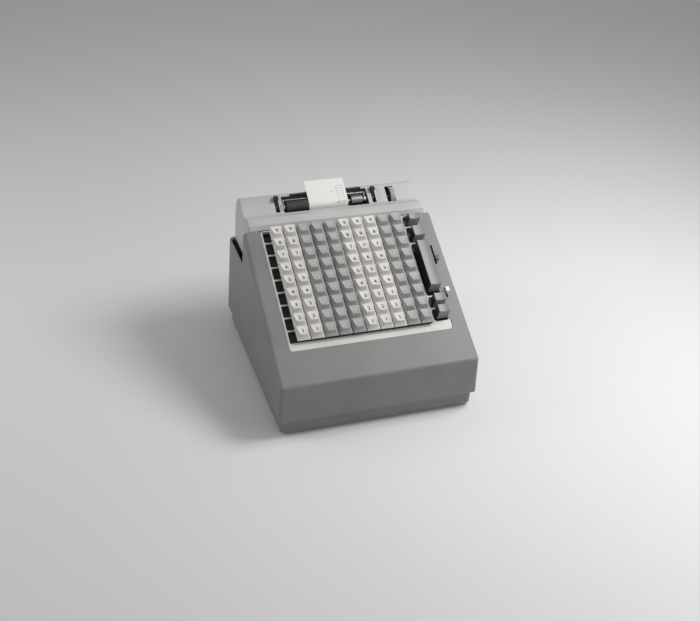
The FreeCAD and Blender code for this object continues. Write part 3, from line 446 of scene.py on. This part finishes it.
finishes = {
    # The last figure of an enamel lightens its edges: partly wear, partly a painted highlight
    "case_enamel": enamel("case_enamel", grey(0.222, 0.01), rough=0.42, edge_wear_and_highlight=0.35),
    "pan_enamel": enamel("pan_enamel", grey(0.21, 0.01), rough=0.5, edge_wear_and_highlight=0.3),
    "hood_enamel": enamel("hood_enamel", grey(0.5, 0.012), rough=0.4, edge_wear_and_highlight=0.25),
    "bezel_enamel": enamel("bezel_enamel", grey(0.66, 0.02), rough=0.42, edge_wear_and_highlight=0.2),
    # The last figure of a key finish darkens it low down between the keys
    "key_pale": moulded("key_pale", grey(0.70, 0.025), rough=0.36, low_darkening=0.1),
    "key_grey": moulded("key_grey", grey(0.41, 0.01), rough=0.36, low_darkening=0.15),
    # Function keys, with painted shade on their left sides
    "function_key_grey": moulded(
        "function_key_grey", grey(0.28, 0.01), rough=0.38, low_darkening=0.3, shade_painted_cheek=True),
    "black_plastic": moulded("black_plastic", grey(0.028), rough=0.3, low_darkening=0.1),
    "white_plastic": moulded("white_plastic", grey(0.75, 0.02), rough=0.32, low_darkening=0.1),
    "bright_steel": steel("bright_steel", grey(0.62), rough=0.22, grain=LINES_ALONG),
    "dull_steel": steel("dull_steel", grey(0.26), rough=0.38, grain=LINES_ALONG),
    "wheel_plastic": ribbed("wheel_plastic", grey(0.5, 0.01), "platen_wheel"),
    "dark_steel": blackened("dark_steel", grey(0.06)),
    "platen_rubber": rubber("platen_rubber", 0.045, pores=900.0),
    "foot_rubber": rubber("foot_rubber", 0.022, pores=500.0),
    "paper": paper("strip_paper", grey(0.8, 0.015)),
    "card": card("core_card", BOARD_BROWN),
    "ribbon_cloth": inked_cloth("ribbon_cloth"),
    "brass": steel("wheel_brass", BRASS_YELLOW, rough=0.28, grain=LINES_ROUND),
    "motor_iron": casting("motor_iron", grey(0.08)),
    "numeral_dark": printed("numeral_dark", 0.11),
    "numeral_pale": printed("numeral_pale", 0.55),
    "print_ink": printed("print_ink", 0.24),
}


def dress_nodes():
    """Gives every CAD node the finish of its material slot, or a special one of its own."""
    for subpart in frame["record"]["subparts"]:
        node = frame["nodes"][subpart["node"]]
        material = finishes[SPECIAL_FINISHES.get(subpart["node"], subpart["material_slot"])]
        if not node.material_slots:
            node.data.materials.append(material)
        for place in node.material_slots:
            place.material = material


def let_go():
    bpy.ops.object.select_all(action="DESELECT")


def grasp(pieces):
    """Selects these pieces and nothing else, with the first one active."""
    let_go()
    for piece in pieces:
        piece.select_set(True)
    bpy.context.view_layer.objects.active = pieces[0]


def settle(piece, place):
    """Puts a piece at its place and leaves that place in its mesh."""
    piece.matrix_world = place
    grasp([piece])
    bpy.ops.object.transform_apply(location=True, rotation=True, scale=True)


def joined(pieces, name):
    grasp(pieces)
    bpy.ops.object.join()
    made = bpy.context.object
    made.name = name
    made.data.name = name
    return made


def copied(piece, name):
    twin = piece.copy()
    twin.data = piece.data.copy()
    twin.name = name
    bpy.context.collection.objects.link(twin)
    return twin


def finish_piece(piece, finish, body):
    """Gives a new piece its finish and its slot, and the body that it moves with."""
    piece.data.materials.clear()
    piece.data.materials.append(finishes[finish])
    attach(piece, body)


def edit_mode(on):
    bpy.ops.object.mode_set(mode="EDIT" if on else "OBJECT")


def pick(piece, test):
    """In edit mode, selects the vertices that pass a test on their place."""
    bpy.ops.mesh.select_mode(type="VERT")
    bpy.ops.mesh.select_all(action="DESELECT")
    edit_mode(False)
    for vertex in piece.data.vertices:
        vertex.select = test(vertex.co)
    edit_mode(True)


def apply_modifier(piece, modifier):
    grasp([piece])
    bpy.ops.object.modifier_apply(modifier=modifier.name)


def lettering(name, words, size, depth, align="CENTER", spread=1.0):
    """Flat text as a thin mesh, level with the origin and aligned to it."""
    let_go()
    bpy.ops.object.text_add(location=(0, 0, 0))
    text = bpy.context.object
    text.data.body = words
    text.data.size = size
    text.data.align_x = align
    text.data.align_y = "CENTER"
    text.data.resolution_u = LETTER_CUTS
    text.data.extrude = depth
    text.data.offset = size * LETTER_WEIGHT
    text.data.space_character = spread
    bpy.ops.object.convert(target="MESH")
    text.name = name
    return text


def raise_loop(rise, scale, rounding):
    """Carries the open edge of a key cap up to its next section."""
    bpy.ops.mesh.extrude_edges_move(TRANSFORM_OT_translate={"value": (0, 0, rise)})
    bpy.ops.transform.resize(value=(scale, scale, 1))
    if rounding:
        bpy.ops.transform.tosphere(value=rounding)


def sink_ring(scale, sink):
    """Takes the top of a key cap in and down to the next ring of its dish."""
    bpy.ops.mesh.extrude_region_move(TRANSFORM_OT_translate={"value": (0, 0, -sink)})
    bpy.ops.transform.resize(value=(scale, scale, scale))


def slant(cap):
    """Leans a cap back with a lattice: narrow and high at the front, wide and low at the rear."""
    let_go()
    bpy.ops.object.add(type="LATTICE", location=(0, 0, KEY_SKIRT_LEVEL + KEY_HEIGHT / 2))
    cage = bpy.context.object
    cage.scale = (2 * KEY_HALF, 2 * KEY_HALF, KEY_HEIGHT)
    for axis in "uvw":
        setattr(cage.data, "points_" + axis, 2)
        setattr(cage.data, "interpolation_type_" + axis, "KEY_LINEAR")
    top_width = 2 * KEY_HALF * KEY_TOP_SHARE
    for point in cage.data.points:
        if point.co.z > 0:
            half, along, level = KEY_FRONT if point.co.y < 0 else KEY_REAR
            across = math.copysign(half / top_width, point.co.x)
            rise = (level - KEY_SKIRT_LEVEL) / KEY_HEIGHT - 0.5
            point.co_deform = (across, along / top_width, rise)
    lean = cap.modifiers.new("slant", "LATTICE")
    lean.object = cage
    bpy.context.view_layer.update()
    apply_modifier(cap, lean)
    bpy.data.objects.remove(cage)


def add_stem(key):
    """Adds the flat stem that guides a key through the key plates."""
    grasp([key])
    edit_mode(True)
    bpy.ops.mesh.select_all(action="DESELECT")
    bpy.ops.mesh.primitive_cube_add(size=1, location=KEY_STEM_MIDDLE, scale=KEY_STEM_SIZE)
    bpy.ops.mesh.bevel(offset=KEY_ROUNDING, segments=1)
    bpy.ops.mesh.select_all(action="SELECT")
    bpy.ops.mesh.normals_make_consistent(inside=False)
    edit_mode(False)


def round_edges(key):
    rounded = key.modifiers.new("rounded_edges", "BEVEL")
    rounded.width = KEY_ROUNDING
    rounded.segments = 2
    rounded.limit_method = "ANGLE"
    rounded.angle_limit = KEY_SHARP_ANGLE
    apply_modifier(key, rounded)
    bpy.ops.object.shade_smooth_by_angle(angle=KEY_SMOOTH_ANGLE)


def model_key():
    """One digit key: square skirt, hollow flanks, a dished top that leans back, and a stem."""
    let_go()
    bpy.ops.mesh.primitive_grid_add(
        x_subdivisions=KEY_SIDE_CUTS, y_subdivisions=KEY_SIDE_CUTS, size=2 * KEY_HALF)
    key = bpy.context.object
    edit_mode(True)
    pick(key, lambda place: max(abs(place.x), abs(place.y)) < KEY_HALF - TOUCH)
    bpy.ops.mesh.delete(type="VERT")
    bpy.ops.mesh.select_all(action="SELECT")
    bpy.ops.transform.translate(value=(0, 0, KEY_SKIRT_LEVEL))
    for section in KEY_SECTIONS:
        raise_loop(*section)
    bpy.ops.mesh.edge_face_add()
    for ring in KEY_DISH_RINGS:
        sink_ring(*ring)
    bpy.ops.mesh.poke()
    pick(key, lambda place: place.z < KEY_SKIRT_LEVEL + TOUCH)
    bpy.ops.mesh.edge_face_add()
    bpy.ops.mesh.inset(thickness=KEY_RIM)
    edit_mode(False)
    slant(key)
    add_stem(key)
    round_edges(key)
    return key


def digit_place():
    """Where a digit lies on its key: in the middle of the leaning top, sunk into the dish."""
    _, front_along, front_level = KEY_FRONT
    _, rear_along, rear_level = KEY_REAR
    middle = (0, (rear_along + front_along) / 2, (rear_level + front_level) / 2)
    lean = math.atan2(front_level - rear_level, rear_along - front_along)
    sunk = Matrix.Translation((0, 0, -DIGIT_SINK))
    return Matrix.Translation(middle) @ Matrix.Rotation(-lean, 4, "X") @ sunk


def model_column():
    """The keys of one column and their digits, 9 at the rear and 1 at the front, as two pieces."""
    key = model_key()
    top = digit_place()
    caps = []
    digits = []
    for row in range(KEY_ROWS):
        along = KEY_LOW + (row + 0.5) * KEY_PITCH
        middle = Matrix.Translation((KEY_LEFT + KEY_PITCH / 2, along, 0))
        cap = copied(key, "cap")
        settle(cap, middle)
        caps.append(cap)
        digit = lettering("digit", str(row + 1), DIGIT_SIZE, DIGIT_DEPTH)
        settle(digit, middle @ top)
        digits.append(digit)
    bpy.data.objects.remove(key)
    return joined(caps, "cap_strip"), joined(digits, "digit_strip")


def add_keys():
    """Ten columns of keys with their digits, each column on its own body."""
    cap_strip, digit_strip = model_column()
    for number in range(KEY_COLUMNS):
        column = number + 1
        body = "key_column_%02d" % column
        slot = "key_grey" if column in GREY_COLUMNS else "key_pale"
        ink = "numeral_pale" if column in GREY_COLUMNS else "numeral_dark"
        place = DECK_PLACE @ Matrix.Translation((number * KEY_PITCH, 0, 0))
        keys = copied(cap_strip, "keys_%02d" % column)
        settle(keys, place)
        finish_piece(keys, slot, body)
        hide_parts(body)
        numerals = copied(digit_strip, "numerals_%02d" % column)
        settle(numerals, place)
        finish_piece(numerals, ink, body)
    for pattern in (cap_strip, digit_strip):
        bpy.data.objects.remove(pattern)


def add_paper_figures():
    """Lines of printed sums on the right half of the paper strip."""
    lines = []
    for number, words in enumerate(SUMS):
        line = lettering("sum", words, SUM_SIZE, SUM_DEPTH, "RIGHT", SUM_SPREAD)
        end = Matrix.Translation((SUM_RIGHT, SUM_LOW + number * SUM_PITCH, SUM_LEVEL))
        settle(line, FACE_PLACE @ end)
        lines.append(line)
    figures = joined(lines, "paper_figures")
    finish_piece(figures, "print_ink", "machine")


def mark(size, across, along):
    """A thin painted stroke with rounded ends, on the face of the hood."""
    let_go()
    bpy.ops.mesh.primitive_plane_add(size=1)
    stroke = bpy.context.object
    stroke.scale = (*size, 1)
    bpy.ops.object.transform_apply(scale=True)
    edit_mode(True)
    bpy.ops.mesh.select_all(action="SELECT")
    bpy.ops.mesh.bevel(offset=min(size) * MARK_ROUNDING, segments=MARK_CUTS, affect="VERTICES")
    bpy.ops.mesh.select_all(action="SELECT")
    bpy.ops.mesh.extrude_region_move(TRANSFORM_OT_translate={"value": (0, 0, MARK_DEPTH)})
    bpy.ops.mesh.select_all(action="SELECT")
    bpy.ops.mesh.normals_make_consistent(inside=False)
    edit_mode(False)
    settle(stroke, FACE_PLACE @ Matrix.Translation((across, along, 0)))
    return stroke


def add_hood_marks():
    """Tick scale beside the line space lever, two guide lines beside the paper release lever."""
    strokes = []
    for number in range(TICK_COUNT):
        strokes.append(mark(TICK_SIZE, TICK_ACROSS, TICK_LOW + number * TICK_PITCH))
    for across in GUIDES_ACROSS:
        strokes.append(mark(GUIDE_SIZE, across, GUIDE_MIDDLE))
    marks = joined(strokes, "hood_marks")
    finish_piece(marks, "numeral_dark", "machine")


def add_floor():
    """Pale floor that takes the object's shadow."""
    let_go()
    bpy.ops.mesh.primitive_plane_add(size=FLOOR_SIZE, location=(0, 0, 0))
    floor = bpy.context.object
    floor.name = "floor"
    top = Finish("floor_top", Roughness=0.8, Specular_IOR_Level=0.1)
    top.drive(Base_Color=top.mix(top.noise(scale=3.0, detail=2.0), grey(0.77), grey(0.8)))
    floor.data.materials.append(top.material)


def add_light():
    """Even light from all round, and three soft lamps."""
    world = bpy.data.worlds.new("studio")
    bpy.context.scene.world = world
    world.use_nodes = True
    sky = world.node_tree.nodes["Background"]
    sky.inputs["Color"].default_value = grey(SKY_TONE)
    sky.inputs["Strength"].default_value = SKY_STRENGTH
    for name, place, size, power in LAMPS:
        data = bpy.data.lights.new(name, "AREA")
        data.size = size
        data.energy = power
        lamp = bpy.data.objects.new(name, data)
        lamp.location = place
        lamp.rotation_euler = (LAMP_AIM - Vector(place)).to_track_quat("-Z", "Y").to_euler()
        bpy.context.collection.objects.link(lamp)


def add_camera():
    """Camera at the photograph's place."""
    view = bpy.data.cameras.new("camera")
    view.lens = CAMERA_LENS
    view.sensor_width = CAMERA_SENSOR
    view.sensor_fit = "HORIZONTAL"
    view.clip_start = CAMERA_NEAR
    camera = bpy.data.objects.new("camera", view)
    camera.location = CAMERA_PLACE
    camera.rotation_euler = [math.radians(turn) for turn in CAMERA_TURN]
    bpy.context.collection.objects.link(camera)
    bpy.context.scene.camera = camera
    bpy.context.scene.view_settings.view_transform = "Standard"


dress_nodes()
add_keys()
add_paper_figures()
add_hood_marks()
add_floor()
add_light()
add_camera()
